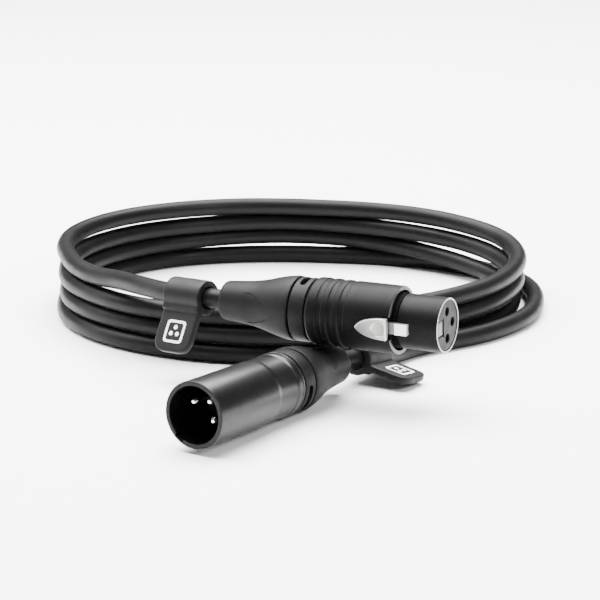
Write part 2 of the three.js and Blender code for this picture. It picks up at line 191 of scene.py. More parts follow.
KEY_PLATE = textured(
    material("key_plate", (0.13, 0.13, 0.128), 0.5, 0.3),
    color=((0.11, 0.11, 0.108), (0.15, 0.15, 0.148)), color_scale=900,
    rough=(0.44, 0.58), rough_scale=900, grain=0.4, grain_scale=5000, grain_depth=1.5e-5,
)
SHELL_FACE = textured(
    material("shell_face", (0.07, 0.07, 0.07), 0.5, 0.5),
    rough=(0.44, 0.58), rough_scale=900, grain=0.4, grain_scale=4000, grain_depth=1.5e-5,
)
GUNMETAL = textured(
    material("gunmetal_shell", (0.027, 0.027, 0.0266), 0.26, 0.92, Specular_IOR_Level=0.2),
    color=((0.0235, 0.0235, 0.0231), (0.0285, 0.0285, 0.0281)), color_scale=300,
    rough=(0.29, 0.32), rough_scale=200,
)
GUNMETAL_RIM = textured(
    material("gunmetal_rim", (0.01, 0.01, 0.01), 0.45, 0.6, Specular_IOR_Level=0.2),
    rough=(0.38, 0.52), rough_scale=900, grain=0.3, grain_scale=4000, grain_depth=1.2e-5,
)
# Painted shade: a near-black finish for the inside of the pin end's metal shell, where shade falls.
BORE_SHADE = textured(
    material("shell_bore_painted_shade", (0.0015, 0.0015, 0.0015), 0.3, Specular_IOR_Level=0.15),
    rough=(0.25, 0.38), rough_scale=80, stretch=ROUND_THE_AXIS, grain=0.2, grain_scale=900,
)
SOFT_TOUCH = textured(
    material("soft_touch", (0.005, 0.005, 0.0049), 0.5, Specular_IOR_Level=0.09),
    color=((0.0044, 0.0044, 0.0043), (0.0057, 0.0057, 0.0056)), color_scale=70,
    rough=(0.47, 0.57), rough_scale=200, grain=0.35, grain_scale=4200, grain_depth=1.8e-5,
)
RING_PLASTIC = textured(
    material("ring_plastic", (0.0042, 0.0042, 0.0041), 0.46, Specular_IOR_Level=0.09),
    color=((0.0037, 0.0037, 0.0036), (0.0048, 0.0048, 0.0047)), color_scale=90,
    rough=(0.43, 0.53), rough_scale=200, grain=0.3, grain_scale=4200, grain_depth=1.5e-5,
)
SEAL = textured(
    material("seal_rubber", (0.001, 0.001, 0.001), 0.7, Specular_IOR_Level=0.03),
    rough=(0.65, 0.78), rough_scale=300, grain=0.3, grain_scale=4000,
)
INSERT_GREY = textured(
    material("insert_grey", (0.013, 0.0128, 0.0122), 0.55, 0.1, Specular_IOR_Level=0.12),
    color=((0.0115, 0.0113, 0.0108), (0.015, 0.0147, 0.014)), color_scale=700,
    rough=(0.48, 0.62), rough_scale=400, grain=0.5, grain_scale=3600, grain_depth=2.2e-5,
)
INSERT_BLACK = textured(
    material("insert_black", (0.003, 0.003, 0.003), 0.42, Specular_IOR_Level=0.3),
    color=((0.0024, 0.0024, 0.0024), (0.0038, 0.0038, 0.0038)), color_scale=300,
    rough=(0.35, 0.5), rough_scale=300, grain=0.3, grain_scale=3600,
)
# Painted shade: near black for the walls of holes and notches and for the socket shell's inside, where shade
# falls.
HOLE_SHADE = textured(
    material("hole_painted_shade", (0.0015, 0.0015, 0.0015), 0.6, Specular_IOR_Level=0.1),
    rough=(0.55, 0.65), rough_scale=300,
)
# Painted light: a far lighter copy of the latch nickel for the hook at the lever's front.
HOOK_LIT = textured(
    material("hook_nickel_painted_light", (0.9, 0.9, 0.89), 0.3, 0.5),
    color=((0.86, 0.86, 0.85), (0.94, 0.94, 0.93)), color_scale=900, rough=(0.25, 0.36), grain=0.3,
)
# Painted shade: a darker copy of the latch nickel for the bar behind the hook.
LATCH_BAR_SHADE = textured(
    material("latch_bar_painted_shade", (0.13, 0.13, 0.13), 0.4, 0.8),
    color=((0.11, 0.11, 0.11), (0.15, 0.15, 0.15)), color_scale=900, rough=(0.34, 0.46), grain=0.3,
)
LATCH_METAL = textured(
    material("latch_nickel", (0.42, 0.42, 0.41), 0.34, 0.9),
    color=((0.37, 0.37, 0.36), (0.47, 0.47, 0.46)), color_scale=1400,
    rough=(0.28, 0.42), rough_scale=700, grain=0.5, grain_scale=4500, grain_depth=2.0e-5,
)
PIN_PLATE = textured(
    material("pin_silver", (0.82, 0.82, 0.81), 0.16, 1.0),
    color=((0.76, 0.76, 0.75), (0.86, 0.86, 0.85)), color_scale=400,
    rough=(0.12, 0.22), rough_scale=300, stretch=ROUND_THE_AXIS,
)
SPRING_STEEL = textured(
    material("spring_steel", (0.46, 0.47, 0.48), 0.3, 1.0),
    rough=(0.24, 0.38), rough_scale=300, stretch=ROUND_THE_AXIS, grain=0.2, grain_scale=1200,
)
CONTACT_TIN = textured(
    material("contact_tin", (0.5, 0.5, 0.49), 0.38, 0.95),
    color=((0.42, 0.42, 0.41), (0.56, 0.56, 0.55)), color_scale=500,
    rough=(0.32, 0.48), rough_scale=300, grain=0.2,
)
CHUCK_PLASTIC = textured(
    material("chuck_plastic", (0.09, 0.09, 0.09), 0.5),
    color=((0.078, 0.078, 0.078), (0.1, 0.1, 0.1)), color_scale=200, rough=(0.44, 0.58), grain=0.3,
)
COPPER = textured(
    material("bare_copper", (0.66, 0.33, 0.19), 0.36, 1.0),
    color=((0.52, 0.25, 0.14), (0.75, 0.4, 0.24)), color_scale=900,
    rough=(0.28, 0.46), rough_scale=900, grain=0.6, grain_scale=2500, grain_depth=4e-5,
)
CORE_RED = textured(
    material("core_red", (0.36, 0.022, 0.016), 0.36, Coat_Weight=0.2),
    color=((0.3, 0.018, 0.013), (0.42, 0.027, 0.02)), color_scale=250, rough=(0.3, 0.44), grain=0.2,
)
CORE_WHITE = textured(
    material("core_white", (0.72, 0.69, 0.62), 0.36, Coat_Weight=0.2),
    color=((0.66, 0.63, 0.56), (0.78, 0.75, 0.69)), color_scale=250, rough=(0.3, 0.44), grain=0.2,
)
TAG_RUBBER = textured(
    material("tag_rubber", (0.0042, 0.0042, 0.0042), 0.48, Specular_IOR_Level=0.14),
    color=((0.0036, 0.0036, 0.0036), (0.005, 0.005, 0.005)), color_scale=150,
    rough=(0.44, 0.58), rough_scale=300, grain=0.4, grain_scale=3800, grain_depth=2e-5,
)
BADGE_INK = textured(
    material("badge_ink", (0.8, 0.8, 0.8), 0.45),
    color=((0.76, 0.76, 0.76), (0.84, 0.84, 0.84)), color_scale=1500,
    rough=(0.4, 0.55), rough_scale=800, grain=0.3, grain_scale=5000,
)


# ---- mesh code -----------------------------------------------------------------------------------

def smooth(mesh, degrees=32):
    """Smooth shading, but for the edges where faces meet at more than this."""
    mesh.shade_smooth()
    mesh.set_sharp_from_angle(angle=math.radians(degrees))


def link(name, mesh, materials, at=None):
    """A piece from a mesh, at a placement. materials is one material or several."""
    made = bpy.data.objects.new(name, mesh)
    scene.collection.objects.link(made)
    for one in materials if isinstance(materials, (list, tuple)) else [materials]:
        mesh.materials.append(one)
    smooth(mesh)
    if at is not None:
        made.matrix_world = at
    return made


def filleted(corners, closed=True, steps=4):
    """The outline through (x, y, radius) corners with each one rounded to its radius, if it has one."""
    out = []
    count = len(corners)
    for i, corner in enumerate(corners):
        here = Vector(corner[:2])
        radius = corner[2] if len(corner) > 2 else 0
        ends = not closed and i in (0, count - 1)
        if not radius or ends:
            out.append(here)
            continue
        before = Vector(corners[i - 1][:2]) - here
        after = Vector(corners[(i + 1) % count][:2]) - here
        reach = min(radius, before.length * 0.48, after.length * 0.48)
        start = here + before.normalized() * reach
        end = here + after.normalized() * reach
        for k in range(steps + 1):
            s = k / steps
            out.append(start * (1 - s) ** 2 + here * 2 * s * (1 - s) + end * s * s)
    return out


def revolved(corners, closed=True, sides=112):
    """A mesh turned about X from (x, radius, fillet) corners in mm. An open profile ends on the axis."""
    outline = filleted(corners, closed)
    shape = bmesh.new()
    rings = []
    for x, r in outline:
        if r < 1e-6:
            rings.append([shape.verts.new((x * MM, 0, 0))])
            continue
        angles = [2 * math.pi * k / sides for k in range(sides)]
        rings.append([
            shape.verts.new((x * MM, r * math.cos(a) * MM, r * math.sin(a) * MM)) for a in angles
        ])
    pairs = list(zip(rings, rings[1:])) + ([(rings[-1], rings[0])] if closed else [])
    for one, other in pairs:
        for k in range(sides):
            after = (k + 1) % sides
            if len(one) == 1:
                shape.faces.new((one[0], other[k], other[after]))
            elif len(other) == 1:
                shape.faces.new((one[k], other[0], one[after]))
            else:
                shape.faces.new((one[k], other[k], other[after], one[after]))
    return finished(shape)


def prism(outline, low, high, axis="Z"):
    """A closed outline in mm, raised from low to high. axis Y: the outline lies in X and Z."""
    shape = bmesh.new()
    rings = []
    for level in (low, high):
        corners = [(u, v, level) if axis == "Z" else (u, level, v) for u, v in outline]
        rings.append([shape.verts.new(Vector(c) * MM) for c in corners])
    shape.faces.new(rings[0])
    shape.faces.new(rings[1])
    count = len(outline)
    for k in range(count):
        after = (k + 1) % count
        shape.faces.new((rings[0][k], rings[0][after], rings[1][after], rings[1][k]))
    return finished(shape)


def finished(shape):
    bmesh.ops.recalc_face_normals(shape, faces=shape.faces)
    mesh = bpy.data.meshes.new("piece")
    shape.to_mesh(mesh)
    shape.free()
    return mesh


def settle(piece):
    """Applies a piece's modifiers."""
    graph = bpy.context.evaluated_depsgraph_get()
    graph.update()
    mesh = bpy.data.meshes.new_from_object(piece.evaluated_get(graph))
    piece.modifiers.clear()
    piece.data = mesh
    return piece


def combine(piece, cutters, operation="DIFFERENCE"):
    """Cuts away, or adds, meshes that are drawn in the piece's own coordinates."""
    tools = []
    for mesh in cutters:
        tool = bpy.data.objects.new("cutter", mesh)
        scene.collection.objects.link(tool)
        tool.matrix_world = piece.matrix_world
        step = piece.modifiers.new("cut", "BOOLEAN")
        step.operation = operation
        step.solver = "EXACT"
        step.object = tool
        tools.append(tool)
    bpy.context.view_layer.update()
    settle(piece)
    for tool in tools:
        bpy.data.objects.remove(tool)
    smooth(piece.data)
    return piece


def beveled(piece, width, segments=3, degrees=35):
    """Rounds the edges that are sharper than degrees, by a width in mm."""
    step = piece.modifiers.new("bevel", "BEVEL")
    step.width = width * MM
    step.segments = segments
    step.limit_method = "ANGLE"
    step.angle_limit = math.radians(degrees)
    step.use_clamp_overlap = True
    settle(piece)
    smooth(piece.data, 40)
    return piece


def turned_by(mesh, degrees):
    mesh.transform(Matrix.Rotation(math.radians(degrees), 4, "X"))
    return mesh


def cylinder(x_from, x_to, radius, sides=48):
    corners = [(x_from, 0), (x_from, radius), (x_to, radius), (x_to, 0)]
    return revolved(corners, closed=False, sides=sides)


def block(low, high, fillet=0.0):
    """A box in mm, rounded in its XZ outline."""
    corners = [
        (low[0], low[2], fillet), (high[0], low[2], fillet),
        (high[0], high[2], fillet), (low[0], high[2], fillet),
    ]
    return prism(filleted(corners), low[1], high[1], axis="Y")


def at_contact(mesh, angle):
    """Moves a mesh drawn round the connector's axis onto the contact circle."""
    mesh.transform(Matrix.Translation((0, CONTACT_CIRCLE_R * MM, 0)))
    return turned_by(mesh, angle)


def paint_faces(piece, index, test):
    """Gives the faces whose centre (in mm) and normal pass the test the material at index."""
    for face in piece.data.polygons:
        if test(face.center / MM, face.normal):
            face.material_index = index


def off_axis(place):
    """How far a place is from the connector's axis."""
    return Vector((place.y, place.z)).length


def stand_in(piece, node_name, body="cable"):
    """Attaches a piece to a body and hides the CAD node that it takes the place of."""
    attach(piece, body)
    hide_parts(node_name)
    return piece


# ---- the cable -----------------------------------------------------------------------------------

COIL_HALF_WIDTH = 77.2
COIL_HALF_DEPTH = 69.9

# From the socket end's boot up to the side of the stack, where it becomes the top turn.
SOCKET_LEAD = [
    (-21.5, -83.3, 25.5),
    (-27.2, -79.9, 25.3),
    (-32.4, -75.6, 25),
    (-37.0, -70.6, 24.6),
    (-40.8, -65.6, 24.2),
    (-44.6, -60.4, 23.8),
    (-52.3, -47.5, 22.4),
    (-58.5, -39.5, 21.4),
    (-64.0, -31.0, 21.05),
    (-69.3, -18.0, 21.0),
]

# From the bottom turn, out past the right of the stack, round the front and to the pin end.
PLUG_LEAD = [
    (28.6, 67.9, 3),
    (39.4, 64.9, 3),
    (50.2, 61.0, 3),
    (60.7, 54.4, 3),
    (70.6, 45.5, 3),
    (77.6, 36.3, 3),
    (82.2, 26.8, 3),
    (84.2, 16.4, 3),
    (84.4, 8.0, 3),
    (83.5, -1.5, 3),
    (81.5, -11.5, 3),
    (78.0, -20.6, 3),
    (73.0, -29.0, 3),
    (66.6, -36.8, 3),
    (59.4, -43.3, 3),
    (52.2, -48.2, 3),
    (45.4, -52.8, 3),
    (38.9, -58.6, 3.02),
    (33.6, -66.0, 3.5),
    (29.2, -74.4, 5.7),
    (24.9, -81.5, 7.2),
    (20.4, -88.4, 7.9),
]

# How each turn lies: degrees round the coil, its size as a share of the ellipse, and its height in mm.
TURNS = [
    [(-180, 0.95, 21.0), (-195, 0.985, 21.2), (-210, 1.004, 21.5), (-225, 1.01, 21.6), (-240, 1.007, 21.5),
     (-258, 1.001, 21.2), (-270, 0.981, 21.1), (-282, 0.97, 21.0), (-294, 0.994, 20.7), (-307, 1.035, 20.0),
     (-320, 1.058, 19.1), (-332, 1.078, 17.8), (-342, 1.062, 16.5), (-355, 1.016, 15.6), (-368, 0.971, 15.4),
     (-381, 0.945, 15.4), (-400, 0.912, 15.4), (-415, 0.908, 15.4), (-430, 0.92, 15.3), (-450, 0.94, 15.2),
     (-470, 0.945, 15.1), (-490, 0.95, 15)],
    [(-505, 0.945, 15), (-525, 0.946, 15), (-540, 0.942, 15), (-555, 0.973, 15), (-570, 1.0, 15),
     (-590, 1.02, 15), (-610, 1.015, 15), (-628, 1.01, 15.1), (-645, 0.992, 14.9), (-660, 1.002, 14.3),
     (-675, 1.045, 13), (-688, 1.062, 11.8), (-699, 1.055, 10.4), (-711, 1.022, 9.7), (-728, 0.971, 9.5),
     (-741, 0.948, 9.5), (-760, 0.918, 9.4), (-775, 0.91, 9.3), (-790, 0.92, 9.3), (-810, 0.94, 9.2),
     (-830, 0.94, 9.1), (-850, 0.936, 9)],
    [(-865, 0.943, 9), (-885, 0.944, 9), (-900, 0.938, 9), (-915, 0.97, 9), (-930, 1.0, 9), (-950, 1.03, 9.1),
     (-970, 1.041, 9.3), (-988, 1.046, 9.5), (-1005, 1.03, 9.2), (-1020, 1.022, 8.2), (-1035, 1.032, 6.3),
     (-1048, 1.045, 4.8), (-1059, 1.04, 3.8), (-1070, 1.012, 3.2), (-1082, 0.975, 3), (-1095, 0.95, 3),
     (-1112, 0.922, 3), (-1126, 0.878, 3), (-1138, 0.872, 3), (-1150, 0.9, 3), (-1170, 0.933, 3),
     (-1190, 0.943, 3), (-1208, 0.948, 3)],
    [(-1226, 0.952, 3), (-1243, 0.953, 3), (-1260, 0.953, 3), (-1275, 0.98, 3), (-1290, 1.01, 3),
     (-1306, 1.038, 3), (-1323, 1.049, 3), (-1338, 1.034, 3), (-1350, 1.021, 3), (-1360, 1.022, 3)],
]


def catmull(before, start, end, after, s):
    """A point between start and end on the curve through four values."""
    return 0.5 * (
        2 * start
        + (end - before) * s
        + (2 * before - 5 * start + 4 * end - after) * s * s
        + (3 * start - before - 3 * end + after) * s ** 3
    )


def coil_points(step=6):
    """The turns' middle line, worked out every few degrees from how each turn lies."""
    rows = [Vector(row) for turn in TURNS for row in turn]
    out = []
    for i in range(len(rows) - 1):
        before, after = rows[max(i - 1, 0)], rows[min(i + 2, len(rows) - 1)]
        count = max(1, round((rows[i][0] - rows[i + 1][0]) / step))
        for k in range(count):
            s = k / count
            angle = math.radians(rows[i][0] * (1 - s) + rows[i + 1][0] * s)
            share = catmull(before[1], rows[i][1], rows[i + 1][1], after[1], s)
            height = catmull(before[2], rows[i][2], rows[i + 1][2], after[2], s)
            out.append((
                COIL_HALF_WIDTH * share * math.cos(angle),
                COIL_HALF_DEPTH * share * math.sin(angle),
                height,
            ))
    return out


def cable_line(spacing=1.6):
    """The whole middle line, in metres, from inside one boot to inside the other."""
    hidden = (60, 66, CONNECTOR_LENGTH)  # places along each connector
    through = (
        [SOCKET @ Vector((t * MM, 0, 0)) for t in hidden]
        + [bench(*p) for p in SOCKET_LEAD + coil_points() + PLUG_LEAD]
        + [PLUG @ Vector((t * MM, 0, 0)) for t in reversed(hidden)]
    )
    out = []
    for i in range(1, len(through) - 2):
        before, start, end, after = through[i - 1:i + 3]
        count = max(1, round((end - start).length / (spacing * MM)))
        out += [catmull(before, start, end, after, k / count) for k in range(count)]
    return out + [through[-2]]


def smoothed(line, rounds):
    """Evens out the line's small wobbles and leaves its ends."""
    for _ in range(rounds):
        inner = [(a + 2 * b + c) / 4 for a, b, c in zip(line, line[1:], line[2:])]
        line = [line[0], *inner, line[-1]]
    return line


line = smoothed(cable_line(), rounds=6)
curve = bpy.data.curves.new("microphone_cable", "CURVE")
curve.dimensions = "3D"
curve.bevel_depth = CABLE_R * MM
curve.bevel_resolution = 10
curve.use_fill_caps = True
strand = curve.splines.new("POLY")
strand.points.add(len(line) - 1)
for point, place in zip(strand.points, line):
    point.co = (*place, 1)
strand.use_smooth = True
curve.materials.append(JACKET)
cable = bpy.data.objects.new("microphone_cable", curve)
scene.collection.objects.link(cable)
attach(cable, "cable")
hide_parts("coil_upper_turns", "coil_bottom_turn", "socket_lead", "plug_lead")


# ---- the boots and coding rings ------------------------------------------------------------------

# Each corner is the distance from the mating face, the radius and the fillet, in mm.
BOOT_OUTSIDE = [
    (47.0, 9.15, 0.15), (47.15, 9.62, 0.2), (48.4, 9.62, 0.5), (51.0, 9.28, 2), (53.5, 8.72, 2),
    (56.0, 8.02, 2), (58.5, 7.38, 2), (61.0, 6.88, 2), (63.5, 6.55, 2), (66.5, 6.25, 2), (69.2, 6.05, 1),
    (71.6, 5.85, 1.5),
]
BOOT_INSIDE = [
    (71.6, 3.45, 0.15), (62, 3.45), (57, 6.1), (51.5, 8.3), (47.0, 8.3),
]

# The finger flat on each side of a boot, from its tip back to where it runs out.
U_TIP = 52.2
U_END = 61.5
U_HALF_WIDTH = 4.6
U_DEPTH = 0.55


def u_edge(steps):
    """The flat's edge in X and Z, a parabola that opens to the rear."""
    across = [U_HALF_WIDTH * (2 * k / steps - 1) for k in range(steps + 1)]
    return [(U_TIP + (U_END - U_TIP) * (z / U_HALF_WIDTH) ** 2, z) for z in across]


def u_outline():
    past = U_END + 6
    return u_edge(24) + [(past, U_HALF_WIDTH), (past, -U_HALF_WIDTH)]


def boot_radius(x):
    for (x0, r0, _), (x1, r1, _) in zip(BOOT_OUTSIDE, BOOT_OUTSIDE[1:]):
        if x0 <= x <= x1:
            return r0 + (r1 - r0) * (x - x0) / (x1 - x0)
    return BOOT_OUTSIDE[-1][1]


def u_groove(radius=0.3, sides=8):
    """A thin tube along the flat's edge on the boot's surface, which cuts a groove there."""
    path = [Vector((x, math.sqrt(boot_radius(x) ** 2 - z * z), z)) for x, z in u_edge(40)]
    shape = bmesh.new()
    rings = []
    for i, place in enumerate(path):
        ahead = (path[min(i + 1, len(path) - 1)] - path[max(i - 1, 0)]).normalized()
        outward = Vector((0, place.y, place.z)).normalized()
        across = ahead.cross(outward).normalized()
        outward = across.cross(ahead).normalized()
        rings.append([
            shape.verts.new((place + radius * (math.cos(a) * across + math.sin(a) * outward)) * MM)
            for a in [2 * math.pi * j / sides for j in range(sides)]
        ])
    for one, other in zip(rings, rings[1:]):
        for k in range(sides):
            after = (k + 1) % sides
            shape.faces.new((one[k], other[k], other[after], one[after]))
    shape.faces.new(rings[0])
    shape.faces.new(rings[-1])
    return finished(shape)


def boot_core():
    """The boot's shape as sunk under the flat: deepest at the tip, and not at all where it runs out."""
    core = []
    for x, r, fillet in BOOT_OUTSIDE:
        fade = min(1.0, max(0.0, (U_END + 0.5 - x) / (U_END - U_TIP)))
        core.append((x, r - U_DEPTH * math.sqrt(fade) + (0.02 if fade == 0 else 0), fillet))
    past = CONNECTOR_LENGTH + 2
    return [(40, 0), (40, 8.6), *core, (past, 5.9), (past, 0)]


def boot(name, at, body, replaced):
    piece = link(name, revolved(BOOT_OUTSIDE + BOOT_INSIDE, sides=144), SOFT_TOUCH, at)
    for side in (0, 180):
        tool = link("u_tool", turned_by(prism(u_outline(), 2, 14, axis="Y"), side), SOFT_TOUCH, at)
        combine(tool, [revolved(boot_core(), closed=False, sides=144)])
        combine(piece, [tool.data, turned_by(u_groove(), side)])
        bpy.data.objects.remove(tool)
    return stand_in(piece, replaced, body)


SLOT_MIDDLE = 44.1
SLOT_HALF_WIDTH = 1.0
SLOT_HALF_LENGTH = 4.4


def coding_ring(name, at, body, replaced, slot_angle):
    """A ring with one long slot, at an angle round the connector."""
    ring = revolved([
        (41.65, 8.32, 0.1), (41.65, 9.45, 0.3), (46.5, 9.5, 0.3), (46.5, 8.32, 0.1),
    ], sides=144)
    piece = link(name, ring, RING_PLASTIC, at)
    front, rear = SLOT_MIDDLE - SLOT_HALF_WIDTH, SLOT_MIDDLE + SLOT_HALF_WIDTH
    slot = [
        (front, -SLOT_HALF_LENGTH, 0.95), (rear, -SLOT_HALF_LENGTH, 0.95),
        (rear, SLOT_HALF_LENGTH, 0.95), (front, SLOT_HALF_LENGTH, 0.95),
    ]
    combine(piece, [turned_by(prism(filleted(slot, steps=8), 7.0, 12, axis="Y"), slot_angle)])
    return stand_in(piece, replaced, body)


boot("socket_boot_skin", SOCKET, "socket_screw_boot", "socket_boot")
plug_boot = boot("plug_boot_skin", PLUG, "plug_screw_boot", "plug_boot")
coding_ring("socket_coding_ring_skin", SOCKET, "socket_ring", "socket_coding_ring", 93)
plug_ring = coding_ring("plug_coding_ring_skin", PLUG, "plug_ring", "plug_coding_ring", -100)


# ---- the socket end ------------------------------------------------------------------------------

# The threaded tail that the boot screws onto, the same on both shells.
SHELL_TAIL = [(41.1, 8.02, 0.1), (50.5, 8.0, 0.2), (50.5, 6.6, 0.1), (36, 6.6)]

SOCKET_SHELL_R = 10.0
GROOVES = (29.6, 33.2, 36.8)
GROOVE_R = 9.72
NOSE_R = 8.0

BUTTON_FROM, BUTTON_TO, BUTTON_HALF = 14.5, 24.4, 3.15
PIVOT_X, PIVOT_Y = 27.9, 5.9


def button_outline(margin, steps=24):
    """The button from above, pointed at the cable end, in X and Z."""
    half = BUTTON_HALF + margin
    start = BUTTON_FROM - margin
    reach = BUTTON_TO + margin - start
    side = []
    for k in range(steps + 1):
        s = 1 - (1 - k / steps) ** 1.6
        side.append(Vector((start + reach * s, half * (1 - s ** 2.4) ** 0.66)))
    return side + [Vector((p.x, -p.y)) for p in reversed(side[:-1])]


def across_pivot(mesh):
    """Turns a cylinder drawn round X so that it lies along the latch's pivot."""
    to_pivot = Matrix.Translation((PIVOT_X * MM, PIVOT_Y * MM, 0))
    mesh.transform(to_pivot @ Matrix.Rotation(math.pi / 2, 4, "Y"))
    return mesh


def socket_shell():
    corners = [(15.9, 8.4), (15.9, 8.8), (14.2, 8.8, 0.1), (14.2, SOCKET_SHELL_R, 0.3)]
    for middle in GROOVES:
        corners += [
            (middle - 1.05, SOCKET_SHELL_R, 0.25), (middle - 0.85, GROOVE_R, 0.25),
            (middle + 0.75, GROOVE_R, 0.25), (middle + 1.0, SOCKET_SHELL_R, 0.25),
        ]
    corners += [(40.4, SOCKET_SHELL_R, 0.3), (41.1, 9.55, 0.15), *SHELL_TAIL, (36, 8.4)]
    piece = link(
        "socket_shell_skin", revolved(corners, sides=160), [BLACK_SHELL, SHELL_FACE, HOLE_SHADE], SOCKET,
    )
    combine(piece, [prism(button_outline(0.3), 6, 12, axis="Y"), block((12, 6, -2.6), (16, 12, 2.6))])
    paint_faces(piece, 1, lambda c, n: n.x < -0.6 and c.x < 14.5)
    # Painted shade on the socket shell's inside round the nose, and on its inner step.
    paint_faces(piece, 2, lambda c, n: c.x < 17 and off_axis(c) < 8.9 and n.x > -0.95)
    paint_faces(piece, 2, lambda c, n: 15 < c.x < 16 and n.x < -0.9)
    return stand_in(piece, "socket_shell")


def socket_nose():
    corners = [
        (1.6, 6.9), (1.6, 7.42), (0, 7.42, 0.06), (0, NOSE_R, 0.12), (12.4, NOSE_R, 0.2), (12.4, 7.4),
        (14.3, 7.4), (14.3, NOSE_R, 0.1), (22, NOSE_R), (22, 6.9),
    ]
    piece = link("socket_nose_skin", revolved(corners, sides=160), [BLACK_SHELL, MACHINED], SOCKET)
    combine(piece, [block((8.6, 6, -1.85), (23, 9, 1.85), 0.3)])
    paint_faces(piece, 1, lambda c, n: n.x < -0.8 and c.x < 0.3)
    return stand_in(piece, "socket_nose")


def socket_seal():
    corners = [(12.6, 7.7, 0.1), (12.6, NOSE_R, 0.2), (14.0, NOSE_R, 0.2), (14.0, 7.7, 0.1)]
    piece = link("socket_seal_skin", revolved(corners, sides=128), SEAL, SOCKET)
    combine(piece, [block((10, 5, -1.95), (16, 9, 1.95))])
    return stand_in(piece, "socket_seal_ring")


def socket_insert():
    corners = [(0.2, 0), (0.2, 7.35, 0.12), (1.5, 7.35), (1.5, 6.6), (31, 6.6), (31, 0)]
    turned = revolved(corners, closed=False, sides=128)
    piece = link("socket_insert_skin", turned, [INSERT_GREY, HOLE_SHADE], SOCKET)
    holes = []
    for angle in CONTACT_ANGLES:
        mouth = [(-0.5, 0), (-0.5, 1.6), (0.2, 1.5), (0.4, 1.36), (2.4, 1.36), (2.4, 0)]
        holes.append(at_contact(revolved(mouth, closed=False, sides=48), angle))
        holes.append(at_contact(cylinder(2.2, 32, 1.75), angle))
    notch = block((-1, 4.7, -2.4), (29.8, 8, 2.4))
    pin_hole = across_pivot(cylinder(-5, 5, 0.75, sides=24))
    front_notch = block((-1, 2.3, -2.4), (1.1, 8, 2.4), 0.1)
    undercut = block((-1, 2.3, -2.8), (1.1, 2.95, 2.8), 0.2)
    combine(piece, [*holes, notch, front_notch, undercut, pin_hole])
    # Painted shade on the walls of the contact holes, the notches and the pin hole.
    paint_faces(piece, 1, lambda c, n: c.x > 0.45 and off_axis(c) < 7.2 and abs(n.x) < 0.9)
    return stand_in(piece, "socket_insert")


def key_liner():
    """The bright plate in the keyway, just inside the nose."""
    piece = link("socket_key_liner", block((0.45, 2.75, -2.0), (1.0, 7.25, 2.0), 0.1), KEY_PLATE, SOCKET)
    beveled(piece, 0.08)
    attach(piece, "cable")
    return piece


def latch():
    """The lever, with the button's cap on it and the hook at its front."""
    side = [
        (9.0, 6.7), (9.0, 8.95), (12.7, 8.95), (12.7, 8.6), (15, 8.6), (15, 9.4), (22, 9.4), (22, 7.9),
        (29.4, 7.9), (29.4, 4.9), (26.4, 4.9), (25.8, 6.7),
    ]
    piece = link("latch_lever_skin", prism(side, -1.65, 1.65), LATCH_METAL, SOCKET)
    combine(piece, [across_pivot(cylinder(-3, 3, 0.72, sides=32))])
    cap = link("cap", prism(button_outline(0), 9.2, 10.95, axis="Y"), LATCH_METAL, SOCKET)
    beveled(cap, 0.3, segments=4, degrees=50)
    dimple = revolved([(0, 0), (0, 1.9, 0.3), (0.3, 2.2), (3, 2.3), (3, 0)], closed=False, sides=64)
    dimple.transform(Matrix.Translation((17.2 * MM, 10.66 * MM, 0)) @ Matrix.Rotation(math.pi / 2, 4, "Z"))
    combine(cap, [dimple])
    combine(piece, [cap.data], "UNION")
    bpy.data.objects.remove(cap)
    piece.data.materials.append(HOOK_LIT)
    piece.data.materials.append(LATCH_BAR_SHADE)
    # Painted light: the hook at the lever's front gets the lighter copy of the nickel.
    paint_faces(piece, 1, lambda c, n: c.x < 12.7 and c.y > 6.75 and n.x < 0.9)
    # Painted shade: the bar behind the hook gets the darker copy of the nickel.
    paint_faces(piece, 2, lambda c, n: 12.6 < c.x < 14.6 and c.y < 9.3)
    return stand_in(piece, "latch_lever", "latch")


socket_shell()
socket_nose()
socket_seal()
socket_insert()
key_liner()
latch()


# ---- the pin end ---------------------------------------------------------------------------------

PLUG_SHELL_R = 9.5
PLUG_BORE_R = 8.2


def plug_shell():
    corners = [
        (0, PLUG_BORE_R, 0.12), (0, PLUG_SHELL_R, 0.28), (28.2, PLUG_SHELL_R, 0.6), (29.4, 9.22, 0.6),
        (37.5, 9.22, 0.3), (38.2, PLUG_SHELL_R, 0.2), (39.9, PLUG_SHELL_R, 0.12), (40.05, 9.28, 0.05),
        (40.35, 9.28, 0.05), (40.5, PLUG_SHELL_R, 0.12), (41.1, 9.4, 0.2), *SHELL_TAIL, (36, PLUG_BORE_R),
    ]
    piece = link(
        "plug_shell_skin", revolved(corners, sides=176), [GUNMETAL, GUNMETAL_RIM, BORE_SHADE], PLUG,
    )
    combine(piece, [block((-1, 7.4, -1.5), (3, 8.9, 1.5), 0.2)])
    paint_faces(piece, 1, lambda c, n: n.x < -0.75 and c.x < 0.3)
    # Painted shade on the shell's inside, behind the mouth.
    paint_faces(piece, 2, lambda c, n: 0.2 < c.x < 36 and off_axis(c) < 8.6)
    return stand_in(piece, "plug_shell")


def plug_insert():
    corners = [(16, 0), (16, 7.0, 0.3), (16.6, 7.9, 0.2), (30, 7.9), (30, 0)]
    piece = link("plug_insert_skin", revolved(corners, closed=False, sides=128), INSERT_BLACK, PLUG)
    combine(piece, [at_contact(cylinder(15, 31, 1.5), angle) for angle in CONTACT_ANGLES])
    return stand_in(piece, "plug_insert")


def plug_pin(number, angle):
    corners = [(4, 0), (4.0, 0.5, 0.3), (4.9, 1.2, 0.7), (33, 1.2, 0.1), (33, 0)]
    piece = link(f"plug_pin_{number}_skin", revolved(corners, closed=False, sides=48), PIN_PLATE, PLUG)
    at_contact(piece.data, angle)
    return stand_in(piece, f"plug_pin_{number}")


